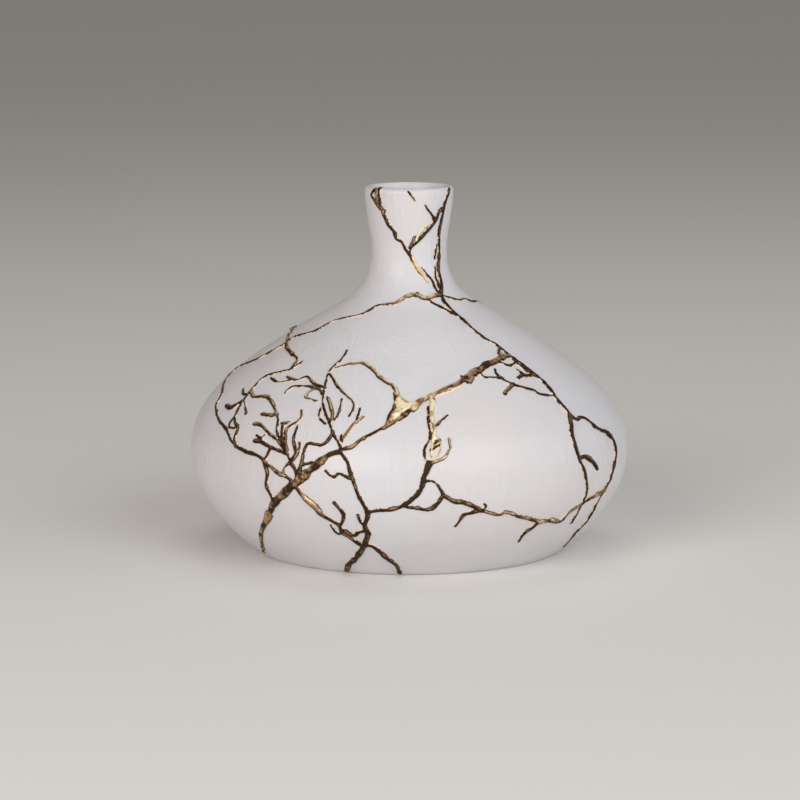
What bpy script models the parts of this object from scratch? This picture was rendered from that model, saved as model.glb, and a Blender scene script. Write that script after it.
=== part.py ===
"""Kintsugi vase: a squat thrown bottle vase, broken once and joined again with raised gold seams.

The vessel is turned about Z and stands on its foot ring at Z = 0. The front of the piece faces -Y.
A place on its outer side is given as degrees round from the front (right is positive) and as
percent of the height, so the seams stay on the surface when a size of the vessel changes.
"""
import math
import random
from collections import Counter
from typing import NamedTuple

import bmesh
import bpy
import numpy as np
from mathutils import Vector
from mathutils.geometry import delaunay_2d_cdt

# Sizes of the vessel, in metres
HEIGHT = 0.1655
FOOT_RADIUS = 0.0715
BELLY_RADIUS = 0.1000
BELLY_HEIGHT = 0.0470
SHOULDER_RADIUS = 0.0560
SHOULDER_HEIGHT = 0.0975
NECK_RADIUS = 0.0172
NECK_HEIGHT = 0.1360
RIM_RADIUS = 0.0202
BODY_WALL = 0.0050
LIP_WALL = 0.0036
FLOOR_THICKNESS = 0.0065
FLOOR_CORNER = 0.0080
FOOT_BEVEL_WIDTH = 0.0015
FOOT_BEVEL_HEIGHT = 0.0012
FOOT_RING_WIDTH = 0.0080
FOOT_RECESS = 0.0020

# Shape of the turned outline: how it leans at each station, and how far each curve handle
# reaches, as a share of the straight distance between two stations
FOOT_LEAN = math.radians(39.0)
SHOULDER_LEAN = math.radians(145.0)
RIM_LEAN = math.radians(88.5)
UPRIGHT = math.radians(90.0)
FOOT_TO_BELLY = (0.69, 0.11)
BELLY_TO_SHOULDER = (0.37, 0.22)
SHOULDER_TO_NECK = (0.44, 0.41)
NECK_TO_RIM = (0.34, 0.36)
CORNER_REACH = (0.40, 0.40)

# Facets of the vessel: sides round the axis, and rings along each stretch of the wall
SIDES = 48
OUTER_RINGS = (7, 6, 10, 4)
INNER_RINGS = (4, 4, 5, 3)
LIP_RINGS = 4
CORNER_RINGS = 3
FINE_RINGS = 60
SHARP_TURN = math.radians(40.0)
POLE_MERGE = 0.000001

# Sizes of the gold: the clear gap under it, its widths, its relief and its steps along a seam
SEAM_GAP = 0.0003
HAIR = 0.0014
FINE = 0.0019
PLAIN = 0.0024
BROAD = 0.0030
TRUNK = 0.0041
POOL = 0.0056
LOW_RELIEF = 0.0004
RELIEF_PER_WIDTH = 0.26
CREST_SHARE = 0.6
TIP_SHARE = 0.45
END_OVERLAP = 0.25
SEAM_STEP = 0.0085
SEAM_TURN = math.radians(15.0)
STRETCH_POINTS = 13
SEAM_WANDER = 0.0003
SEAM_SEED = 7

# Flat disc on which the seams are joined: its empty middle, and how near two of its points can be
CHART_MIDDLE = 0.0200
CHART_MERGE = 0.0002

# Finishes: colour, roughness and metallic value
PORCELAIN = ((0.68, 0.64, 0.65, 1.0), 0.42, 0.0)
GOLD = ((0.42, 0.29, 0.15, 1.0), 0.38, 0.9)


class Seam(NamedTuple):
    """One gold seam: its widths at the start, middle and end, and its stations."""

    widths: tuple
    stations: list


class Cut(NamedTuple):
    """A cut across a seam on the vessel's surface: its middle, its two edges and its width."""

    middle: Vector
    left: Vector
    right: Vector
    width: float


# Places where seams meet: degrees from the front, percent of the height
RIM_LEFT = (-48, 99)
RIM_RIGHT = (59, 99)
NECK_FORK = (0, 82)
NECK_SPLIT = (50.5, 93.5)
NECK_FOOT = (35, 71)
LEFT_TURN = (-91, 48)
STRAND_TURN = (-82, 60)
LEFT_HIP = (-51, 34)
LEFT_KNEE = (-39, 30.5)
TRUNK_ELBOW = (-36, 20.5)
TRUNK_CROSS = (-28.5, 27)
LADDER_TOP = (-20.5, 40)
HUB = (-31, 32.5)
CENTRE_FOOT = (-11, 19.5)
BASE_KNOT = (-13, 9)
LEAF_MEET = (-28, 49)
BRIGHT_POOL = (-1.5, 45.5)
STEM_TOP = (7.5, 49)
STEM_FOOT = (5, 33.5)
LOWER_MEET = (-1, 22.5)
LOWER_TURN = (18, 20.5)
LOWER_BRANCH = (37, 15)
TRUNK_END = (44.5, 58.5)
LOW_LINE_END = (50, 46.5)
RIGHT_FORK = (50.5, 42.5)
INNER_FOOT = (52, 18)
OUTER_TURN = (66, 34.5)
OUTER_FOOT = (62, 20.5)
BACK_LEFT = (-113, 47)
BACK_STRAND = (-132, 49)
BACK_MIDDLE = (-152, 53)
BACK_RIGHT = (122, 46)
BACK_TOP = (172, 49)

# The front seams, then the plainer ones of the back
SEAMS = {
    "neck left": Seam((BROAD, BROAD, BROAD), [
        RIM_LEFT, (-43, 96), (-39, 94), (-27, 89.5), (-12.5, 86), NECK_FORK, (20.5, 76.5), NECK_FOOT]),
    "neck right": Seam((FINE, FINE, FINE), [
        RIM_RIGHT, (56, 95.5), NECK_SPLIT, (48.5, 91), (52, 84), (46.5, 76), NECK_FOOT]),
    "neck link": Seam((FINE, PLAIN, FINE), [NECK_SPLIT, (31, 89.5), (13.5, 86.5), NECK_FORK]),
    "left shoulder": Seam((BROAD, FINE, FINE), [
        NECK_FOOT, (15, 70.5), (5, 71), (-10, 69.5), (-26, 68.5), (-44, 66), (-55, 63.5),
        (-66, 61), (-72, 58), (-80, 54), (-87, 51), LEFT_TURN]),
    "left loop": Seam((FINE, PLAIN, PLAIN), [
        LEFT_TURN, (-85, 46), (-76, 45), (-72, 42), (-65, 39.5), (-56, 36.5), LEFT_HIP,
        (-45, 33), LEFT_KNEE, (-38, 26), (-38, 24), TRUNK_ELBOW]),
    "trunk": Seam((PLAIN, TRUNK, TRUNK), [
        (-60, 2.5), (-48, 9.5), (-41, 16), TRUNK_ELBOW, TRUNK_CROSS, (-25, 30.5), (-21.5, 34),
        (-17, 35.5)]),
    "trunk middle": Seam((PLAIN, PLAIN, POOL), [
        (-17, 35.5), (-14, 37.5), (-6, 42), BRIGHT_POOL]),
    "trunk right": Seam((POOL, FINE, BROAD), [
        BRIGHT_POOL, (3, 47.5), STEM_TOP, (15, 51), (20, 52.5), (31, 55), (40, 56.5), TRUNK_END]),
    "arc": Seam((HAIR, BROAD, TRUNK), [
        (-29, 54.5), (-20, 55.5), (-14, 54.5), (-10, 52.5), (-5, 51), (-4, 48.5), BRIGHT_POOL]),
    "centre": Seam((HAIR, PLAIN, BROAD), [
        (-28.5, 58.5), (-31, 54.5), LEAF_MEET, (-24, 44.5), LADDER_TOP, (-17, 35.5), (-14.5, 29.5),
        (-13, 25), CENTRE_FOOT, (-11.5, 14.5), BASE_KNOT]),
    "diagonal": Seam((PLAIN, BROAD, BROAD), [
        LEFT_KNEE, (-32, 27), (-28, 25), (-26.5, 22), (-22, 18), (-18, 13.5), BASE_KNOT]),
    "base left": Seam((BROAD, BROAD, PLAIN), [BASE_KNOT, (-17, 4.5), (-21, 2)]),
    "base right": Seam((PLAIN, BROAD, PLAIN), [BASE_KNOT, (-10.5, 10), (-6, 5.5), (-3, 2)]),
    "lower middle": Seam((PLAIN, PLAIN, BROAD), [
        CENTRE_FOOT, (-7.5, 20.5), LOWER_MEET, (2.5, 26), (4, 30), STEM_FOOT]),
    "stem": Seam((BROAD, POOL, BROAD), [STEM_FOOT, (7, 37), (6, 43.5), STEM_TOP]),
    "lower loop": Seam((FINE, FINE, PLAIN), [
        LOWER_MEET, (2, 21), (6.5, 21.5), (8.5, 24), (12, 22.5), LOWER_TURN]),
    "lower run": Seam((PLAIN, FINE, BROAD), [
        LOWER_TURN, (23.5, 18.5), (29.5, 17), LOWER_BRANCH]),
    "lower right": Seam((BROAD, PLAIN, PLAIN), [
        LOWER_BRANCH, (45, 14), (47.5, 16.5), INNER_FOOT, OUTER_FOOT]),
    "run branch": Seam((PLAIN, BROAD, PLAIN), [LOWER_BRANCH, (35, 12.5), (32.5, 10)]),
    "run twig": Seam((PLAIN, BROAD, FINE), [LOWER_TURN, (14.5, 19), (12.5, 16.5)]),
    "right line": Seam((PLAIN, FINE, PLAIN), [
        NECK_FOOT, (36, 68), (38, 64), (42, 60.5), TRUNK_END, (46, 56), (48, 52.5), (50, 50),
        LOW_LINE_END, RIGHT_FORK]),
    "outer loop": Seam((FINE, PLAIN, PLAIN), [
        RIGHT_FORK, (53, 40.5), (56, 40.5), (61, 36.5), OUTER_TURN, (67, 28), OUTER_FOOT,
        (61, 14), (60.5, 8), (64, 3)]),
    "inner right": Seam((PLAIN, PLAIN, PLAIN), [
        RIGHT_FORK, (48, 37), (48.5, 31.5), (51, 25.5), INNER_FOOT, (51.5, 12.5)]),
    "inner twig": Seam((FINE, FINE, PLAIN), [(48.5, 31.5), (53, 30), (57, 26.5)]),
    "low line": Seam((FINE, FINE, FINE), [
        (26, 54), (28, 52), (36, 50.5), (45, 47.5), LOW_LINE_END]),
    "left strand": Seam((FINE, PLAIN, PLAIN), [
        STRAND_TURN, (-67, 57.5), (-57, 56.5), (-49, 55.5), (-48, 53), (-55, 51.5), (-57.5, 48),
        (-56.5, 42), (-52.5, 38), LEFT_HIP]),
    "left inner": Seam((FINE, BROAD, PLAIN), [
        (-57.5, 46.5), (-49, 46.5), (-43, 45), (-39, 42), (-35.5, 37), HUB, TRUNK_CROSS]),
    "leaf": Seam((FINE, PLAIN, BROAD), [(-48, 53), (-42, 51.5), (-34, 51), LEAF_MEET]),
    "ladder": Seam((FINE, PLAIN, FINE), [
        TRUNK_CROSS, (-27.5, 33.5), (-25.5, 36.5), (-22, 37), LADDER_TOP]),
    "high arm": Seam((BROAD, PLAIN, FINE), [(-46, 40), (-40, 38.5), (-34.5, 35.5), HUB]),
    "low arm": Seam((PLAIN, PLAIN, PLAIN), [(-44, 36.5), (-38, 35), HUB]),
    "hub arm": Seam((PLAIN, PLAIN, HAIR), [HUB, (-34, 38), (-32.5, 42), (-32.5, 45)]),
    "fat twig": Seam((BROAD, PLAIN, FINE), [(-65, 42.5), (-60, 43), (-57, 45)]),
    "low twig": Seam((FINE, PLAIN, PLAIN), [(-19, 22), (-17.5, 18.5), (-20, 16)]),
    "back shoulder": Seam((FINE, FINE, FINE), [
        (-104, 45.5), BACK_LEFT, BACK_STRAND, BACK_MIDDLE, BACK_TOP, (147, 51), BACK_RIGHT]),
    "back strand": Seam((FINE, FINE, FINE), [
        STRAND_TURN, (-94, 60.5), (-108, 59), (-122, 55), BACK_STRAND]),
    "back right": Seam((FINE, FINE, HAIR), [
        BACK_RIGHT, (127, 53), (126, 60), (121, 66), (112, 69), (94, 69), (76, 69),
        (59.5, 69.5), (42.5, 70.5), NECK_FOOT]),
    "back neck": Seam((PLAIN, FINE, PLAIN), [
        (-148, 99), (-160, 91), (-152, 82), (-168, 72), (-158, 62), BACK_MIDDLE]),
    "back middle": Seam((PLAIN, PLAIN, PLAIN), [
        BACK_TOP, (161, 40), (171, 29), (163, 16), (168, 2.5)]),
    "back left": Seam((FINE, PLAIN, PLAIN), [
        BACK_LEFT, (-119, 40), (-107, 28), (-114, 14), (-110, 2.5)]),
    "back low": Seam((FINE, FINE, PLAIN), [BACK_RIGHT, (130, 33), (119, 20), (126, 10), (123, 2.5)]),
}


def clear_scene():
    """Removes every object that the new file starts with."""
    for item in list(bpy.data.objects):
        bpy.data.objects.remove(item, do_unlink=True)


def curve_stretch(start, start_lean, end, end_lean, reach, count):
    """Returns points of one smooth stretch of the outline, as radius and height, without its start."""
    start, end = np.array(start), np.array(end)
    span = np.linalg.norm(end - start)
    first = start + reach[0] * span * np.array([math.cos(start_lean), math.sin(start_lean)])
    second = end - reach[1] * span * np.array([math.cos(end_lean), math.sin(end_lean)])
    along = np.linspace(0.0, 1.0, count + 1)[1:, None]
    back = 1.0 - along
    return (back**3 * start + 3 * along * back**2 * first
            + 3 * along**2 * back * second + along**3 * end)


def outer_outline(rings):
    """Returns the outer side from the top of the foot's bevel to the rim, as radius and height."""
    stations = [
        (FOOT_RADIUS + FOOT_BEVEL_WIDTH, FOOT_BEVEL_HEIGHT),
        (BELLY_RADIUS, BELLY_HEIGHT),
        (SHOULDER_RADIUS, SHOULDER_HEIGHT),
        (NECK_RADIUS, NECK_HEIGHT),
        (RIM_RADIUS, HEIGHT - LIP_WALL / 2),
    ]
    leans = (FOOT_LEAN, UPRIGHT, SHOULDER_LEAN, UPRIGHT, RIM_LEAN)
    reaches = (FOOT_TO_BELLY, BELLY_TO_SHOULDER, SHOULDER_TO_NECK, NECK_TO_RIM)
    points = [np.array([stations[0]])]
    for index, reach in enumerate(reaches):
        points.append(curve_stretch(stations[index], leans[index], stations[index + 1],
                                    leans[index + 1], reach, rings[index]))
    return np.vstack(points)


def outline_normals(outline):
    """Returns the outward direction at each point of an outline that runs upwards."""
    along = np.gradient(outline, axis=0)
    along /= np.linalg.norm(along, axis=1)[:, None]
    return np.stack([along[:, 1], -along[:, 0]], axis=1)


OUTLINE = outer_outline([FINE_RINGS] * 4)
NORMALS = outline_normals(OUTLINE)


def wall_at(height):
    """Returns the wall's thickness, which thins from the shoulder to the lip."""
    rise = np.clip((height - SHOULDER_HEIGHT) / (HEIGHT - SHOULDER_HEIGHT), 0.0, 1.0)
    return BODY_WALL + (LIP_WALL - BODY_WALL) * rise


def inner_outline():
    """Returns the inner side, the wall's thickness in from the outer one, from the lip to the floor."""
    outer = outer_outline(INNER_RINGS)
    outward = np.stack([np.interp(outer[:, 1], OUTLINE[:, 1], NORMALS[:, axis])
                        for axis in (0, 1)], axis=1)
    inner = outer - outward * wall_at(outer[:, 1])[:, None]
    fine = OUTLINE - NORMALS * wall_at(OUTLINE[:, 1])[:, None]
    floor_radius = np.interp(FLOOR_THICKNESS, fine[:, 1], fine[:, 0])
    corner_top = FLOOR_THICKNESS + FLOOR_CORNER
    corner_start = (np.interp(corner_top, fine[:, 1], fine[:, 0]), corner_top)
    corner_end = (floor_radius - FLOOR_CORNER, FLOOR_THICKNESS)
    corner_lean = math.atan2(FLOOR_CORNER, corner_start[0] - floor_radius) + math.pi
    corner = curve_stretch(corner_start, corner_lean, corner_end, math.pi, CORNER_REACH, CORNER_RINGS)
    wall = inner[inner[:, 1] > corner_top + FLOOR_CORNER / 2][::-1]
    wall[0] = (RIM_RADIUS - LIP_WALL, HEIGHT - LIP_WALL / 2)
    return np.vstack([wall, [corner_start], corner])


def vessel_outline():
    """Returns the whole section, from the middle of the underside round to the middle of the floor."""
    ring_inside = FOOT_RADIUS - FOOT_RING_WIDTH
    recess_edge = ring_inside - FOOT_RECESS
    foot = [(0.0, FOOT_RECESS), (recess_edge, FOOT_RECESS), (ring_inside, 0.0), (FOOT_RADIUS, 0.0)]
    outer = outer_outline(OUTER_RINGS)
    lip = []
    for step in range(1, LIP_RINGS):
        angle = math.pi * step / LIP_RINGS
        lip.append((RIM_RADIUS - LIP_WALL / 2 + LIP_WALL / 2 * math.cos(angle),
                    HEIGHT - LIP_WALL / 2 + LIP_WALL / 2 * math.sin(angle)))
    return np.vstack([foot, outer, lip, inner_outline(), [(0.0, FLOOR_THICKNESS)]])


def new_object(name, mesh, material):
    """Adds a mesh to the scene as a smooth shaded object with one material."""
    item = bpy.data.objects.new(name, mesh)
    bpy.context.scene.collection.objects.link(item)
    mesh.shade_smooth()
    mesh.set_sharp_from_angle(angle=SHARP_TURN)
    mesh.materials.append(material)
    return item


def new_material(name, colour, roughness, metallic):
    """Returns a Principled material with one colour."""
    material = bpy.data.materials.new(name)
    material.use_nodes = True
    shader = material.node_tree.nodes["Principled BSDF"]
    shader.inputs["Base Color"].default_value = colour
    shader.inputs["Roughness"].default_value = roughness
    shader.inputs["Metallic"].default_value = metallic
    return material


def build_vessel(material):
    """Spins the section about Z into the hollow vessel."""
    shape = bmesh.new()
    corners = [shape.verts.new((radius, 0.0, height)) for radius, height in vessel_outline()]
    edges = [shape.edges.new(pair) for pair in zip(corners, corners[1:])]
    bmesh.ops.spin(shape, geom=corners + edges, cent=(0, 0, 0), axis=(0, 0, 1),
                   angle=2 * math.pi, steps=SIDES, use_merge=True)
    bmesh.ops.remove_doubles(shape, verts=shape.verts, dist=POLE_MERGE)
    bmesh.ops.recalc_face_normals(shape, faces=shape.faces)
    mesh = bpy.data.meshes.new("vase_body")
    shape.to_mesh(mesh)
    shape.free()
    return new_object("vase_body", mesh, material)


def surface_point(place, lift=0.0):
    """Returns the point above a place on the outer side, and the outward direction there."""
    degrees, percent = place
    angle = math.radians(degrees)
    height = min(max(percent / 100 * HEIGHT, OUTLINE[0, 1]), OUTLINE[-1, 1])
    radius = np.interp(height, OUTLINE[:, 1], OUTLINE[:, 0])
    out, up = (np.interp(height, OUTLINE[:, 1], NORMALS[:, axis]) for axis in (0, 1))
    normal = Vector((out * math.sin(angle), -out * math.cos(angle), up)).normalized()
    point = Vector((radius * math.sin(angle), -radius * math.cos(angle), height))
    return point + normal * lift, normal


def smooth_stretches(stations):
    """Returns the smooth line through the stations as many places on each stretch between two."""
    ends = [tuple(2 * a - b for a, b in zip(stations[0], stations[1])),
            tuple(2 * a - b for a, b in zip(stations[-1], stations[-2]))]
    points = [np.array(place, dtype=float) for place in [ends[0], *stations, ends[1]]]
    for index in range(1, len(points)):
        turn = points[index][0] - points[index - 1][0]
        points[index][0] -= 360.0 * round(turn / 360.0)
    stretches = []
    for before, start, end, after in zip(points, points[1:], points[2:], points[3:]):
        stretches.append([0.5 * (2 * start + (end - before) * along
                                 + (2 * before - 5 * start + 4 * end - after) * along**2
                                 + (3 * start - before - 3 * end + after) * along**3)
                          for along in np.linspace(0.0, 1.0, STRETCH_POINTS)])
    return stretches


def stepped_places(stations, chance):
    """Returns a seam's stations and the places between them, the latter a little off its line."""
    places = [(*stations[0], 0.0)]
    stretches = smooth_stretches(stations)
    for number, stretch in enumerate(stretches):
        points = [surface_point(place)[0] for place in stretch]
        length = sum((after - before).length for before, after in zip(points, points[1:]))
        radius = min(math.hypot(point.x, point.y) for point in points)
        count = max(1, math.ceil(length / min(SEAM_STEP, radius * SEAM_TURN)))
        for step in range(1, count + 1):
            share = step / count
            degrees, percent = (np.interp(share, np.linspace(0.0, 1.0, STRETCH_POINTS),
                                          [place[axis] for place in stretch]) for axis in (0, 1))
            if step < count:
                degrees += math.degrees(chance.uniform(-SEAM_WANDER, SEAM_WANDER) / radius)
                percent += 100 * chance.uniform(-SEAM_WANDER, SEAM_WANDER) / HEIGHT
            places.append((degrees, percent, (number + share) / len(stretches)))
    return places


def seam_cuts(seam, joined, chance):
    """Returns a seam's cuts; an end that no other seam joins is drawn in to a tip."""
    places = stepped_places(seam.stations, chance)
    centres = [surface_point(place[:2]) for place in places]
    cuts = []
    for index, (degrees, percent, share) in enumerate(places):
        point, normal = centres[index]
        before = centres[max(index - 1, 0)][0]
        after = centres[min(index + 1, len(centres) - 1)][0]
        side = normal.cross(after - before).normalized()
        width = float(np.interp(share, (0.0, 0.5, 1.0), seam.widths))
        if index in (0, len(places) - 1):
            outward = (before - after if index == 0 else after - before).normalized()
            if joined[0 if index == 0 else 1]:
                point = point + outward * width * END_OVERLAP
            else:
                width *= TIP_SHARE
        cuts.append(Cut(point, point - side * width / 2, point + side * width / 2, width))
    return cuts


def to_chart(point):
    """Returns a point's place on a flat disc: its direction, and how far below the rim it is."""
    angle = math.atan2(point.x, -point.y)
    reach = CHART_MIDDLE + HEIGHT - point.z
    return Vector((reach * math.sin(angle), reach * math.cos(angle)))


def from_chart(flat):
    """Returns the place on the outer side, in degrees and percent, of a point of the flat disc."""
    return (math.degrees(math.atan2(flat.x, flat.y)),
            100 * (HEIGHT + CHART_MIDDLE - flat.length) / HEIGHT)


def chart_of_seams():
    """Lays every seam on the flat disc and joins them there.

    Returns the disc's points, the faces that a seam covers, and each short stretch of a seam's
    middle line as the two cuts at its ends.
    """
    chance = random.Random(SEAM_SEED)
    every_place = [place for seam in SEAMS.values() for place in seam.stations]
    corners, quads, stretches = [], [], []
    for seam in SEAMS.values():
        joined = [every_place.count(seam.stations[end]) > 1 for end in (0, -1)]
        cuts = seam_cuts(seam, joined, chance)
        for before, after in zip(cuts, cuts[1:]):
            quads.append([len(corners) + step for step in (0, 1, 3, 2)])
            corners += [to_chart(before.left), to_chart(before.right)]
            stretches.append((before, after))
        corners += [to_chart(cuts[-1].left), to_chart(cuts[-1].right)]
    points, _, faces, _, _, sources = delaunay_2d_cdt(corners, [], quads, 1, CHART_MERGE)
    return points, [face for face, source in zip(faces, sources) if source], stretches


def nearest_middle(point, stretches):
    """Returns the nearest point on the seams' middle lines, and the seam's width there."""
    starts = np.array([before.middle for before, after in stretches])
    spans = np.array([after.middle - before.middle for before, after in stretches])
    away = np.array(point) - starts
    shares = np.clip((away * spans).sum(axis=1) / (spans**2).sum(axis=1), 0.0, 1.0)
    nearest = int(np.argmin(((away - shares[:, None] * spans)**2).sum(axis=1)))
    before, after = stretches[nearest]
    share = float(shares[nearest])
    return before.middle.lerp(after.middle, share), before.width + (after.width - before.width) * share


def build_gold(material):
    """Raises the joined seams on the vessel as one closed body, domed across each seam."""
    points, faces, stretches = chart_of_seams()
    shape = bmesh.new()
    low, high = {}, {}
    for number in sorted({number for face in faces for number in face}):
        place = from_chart(points[number])
        point = surface_point(place)[0]
        middle, width = nearest_middle(point, stretches)
        crest = from_chart(to_chart(middle.lerp(point, CREST_SHARE)))
        relief = LOW_RELIEF + RELIEF_PER_WIDTH * width
        low[number] = shape.verts.new(surface_point(place, SEAM_GAP)[0])
        high[number] = shape.verts.new(surface_point(crest, SEAM_GAP + relief)[0])
    uses = Counter()
    for face in faces:
        shape.faces.new([high[number] for number in face])
        shape.faces.new([low[number] for number in reversed(face)])
        uses.update(frozenset(pair) for pair in zip(face, face[1:] + face[:1]))
    for one, two in (sorted(pair) for pair, count in uses.items() if count == 1):
        shape.faces.new((low[one], low[two], high[two], high[one]))
    bmesh.ops.recalc_face_normals(shape, faces=shape.faces)
    mesh = bpy.data.meshes.new("gold_seams")
    shape.to_mesh(mesh)
    shape.free()
    return new_object("gold_seams", mesh, material)


def main():
    """Builds the vessel and its gold seams."""
    clear_scene()
    build_vessel(new_material("satin porcelain", *PORCELAIN))
    build_gold(new_material("gold lacquer", *GOLD))


main()
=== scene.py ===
"""Kintsugi vase: the finished look of a squat porcelain bottle vase mended with raised gold seams.

The vessel is turned about Z, stands at Z = 0 and faces -Y. A place on its outer side is given as
degrees round from the front, right positive, and as percent of the height. Places above the rim's
outer edge run on over the lip. All lengths are in metres.
"""
import logging
import math
from dataclasses import dataclass, field
from enum import Enum

import bpy
import numpy as np
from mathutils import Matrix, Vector, noise


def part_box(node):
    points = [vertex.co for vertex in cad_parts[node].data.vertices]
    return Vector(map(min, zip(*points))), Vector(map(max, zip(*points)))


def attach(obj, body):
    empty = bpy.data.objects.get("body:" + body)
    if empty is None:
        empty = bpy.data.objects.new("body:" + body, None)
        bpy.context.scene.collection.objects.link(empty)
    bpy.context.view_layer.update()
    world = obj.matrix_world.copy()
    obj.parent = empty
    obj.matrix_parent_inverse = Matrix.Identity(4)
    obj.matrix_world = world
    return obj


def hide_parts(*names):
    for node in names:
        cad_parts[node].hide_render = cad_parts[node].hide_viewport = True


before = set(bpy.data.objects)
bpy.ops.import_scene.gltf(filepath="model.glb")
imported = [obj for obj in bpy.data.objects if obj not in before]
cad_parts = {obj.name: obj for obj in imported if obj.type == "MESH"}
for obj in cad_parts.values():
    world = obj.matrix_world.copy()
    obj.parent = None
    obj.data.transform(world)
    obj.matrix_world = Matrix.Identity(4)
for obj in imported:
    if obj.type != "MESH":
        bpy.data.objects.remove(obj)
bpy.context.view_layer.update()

log = logging.getLogger("kintsugi vase")

Place = tuple[float, float]
Pair = tuple[float, float]
Colour = tuple[float, float, float]

WHOLE: Pair = (0.0, 1.0)


class Width(Enum):
    """Widths of a gold seam where it meets the porcelain."""

    THREAD = 0.0008
    HAIR = 0.0011
    FINE = 0.0015
    PLAIN = 0.0020
    BROAD = 0.0026
    TRUNK = 0.0039
    POOL = 0.0050


class Sheen(Enum):
    """How pale a seam's crest is painted, from dark to cream: partly the gold's own tone and polish, partly
    painted highlight and painted shade.
    """

    DARK = 0.0
    DULL = 0.33
    SOFT = 0.66
    BRIGHT = 1.0


THREAD, HAIR, FINE, PLAIN = Width.THREAD, Width.HAIR, Width.FINE, Width.PLAIN
BROAD, TRUNK, POOL = Width.BROAD, Width.TRUNK, Width.POOL
DULL, SOFT, BRIGHT = Sheen.DULL, Sheen.SOFT, Sheen.BRIGHT


@dataclass(frozen=True)
class Seam:
    """One gold seam: its widths at the start, middle and end, its stations and its sheen."""

    start: Width
    middle: Width
    end: Width
    stations: list[Place]
    sheen: Sheen = Sheen.DARK


# Places where seams meet: degrees from the front, percent of the height
NECK_FORK = (1, 82)
NECK_SPLIT = (51.5, 94.5)
NECK_FOOT = (36, 71)
LEFT_TURN = (-90.5, 48.5)
STRAND_TURN = (-81.5, 59.5)
LEFT_HIP = (-51, 34)
LEFT_KNEE = (-39.5, 31.5)
TRUNK_ELBOW = (-36.5, 20.5)
TRUNK_CROSS = (-29, 27)
TRUNK_MIDDLE = (-17.5, 35.5)
LADDER_TOP = (-20.5, 40)
HUB = (-32.5, 34)
HUB_FOOT = (-31, 32)
CENTRE_FOOT = (-10.5, 20)
BASE_KNOT = (-13, 9.5)
LEAF_MEET = (-28.5, 50)
BRIGHT_POOL = (-1.5, 46)
STEM_TOP = (7.5, 49)
STEM_FOOT = (5, 33)
LOWER_MEET = (-1.5, 22)
LOWER_TURN = (18.5, 20)
LOWER_BRANCH = (37, 15)
TRUNK_END = (42, 56.5)
RIGHT_KNOT = (45, 58.5)
LOW_LINE_END = (50, 46.5)
RIGHT_FORK = (51, 42)
INNER_FOOT = (52, 18)
OUTER_FOOT = (62.5, 20)
BACK_LEFT = (-113, 47)
BACK_STRAND = (-132, 49)
BACK_MIDDLE = (-152, 53)
BACK_RIGHT = (122, 46)
BACK_TOP = (172, 49)

# Each seam's sheen makes its crest paler or darker: partly the gold's own tone, partly painted highlight and
# painted shade
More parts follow.
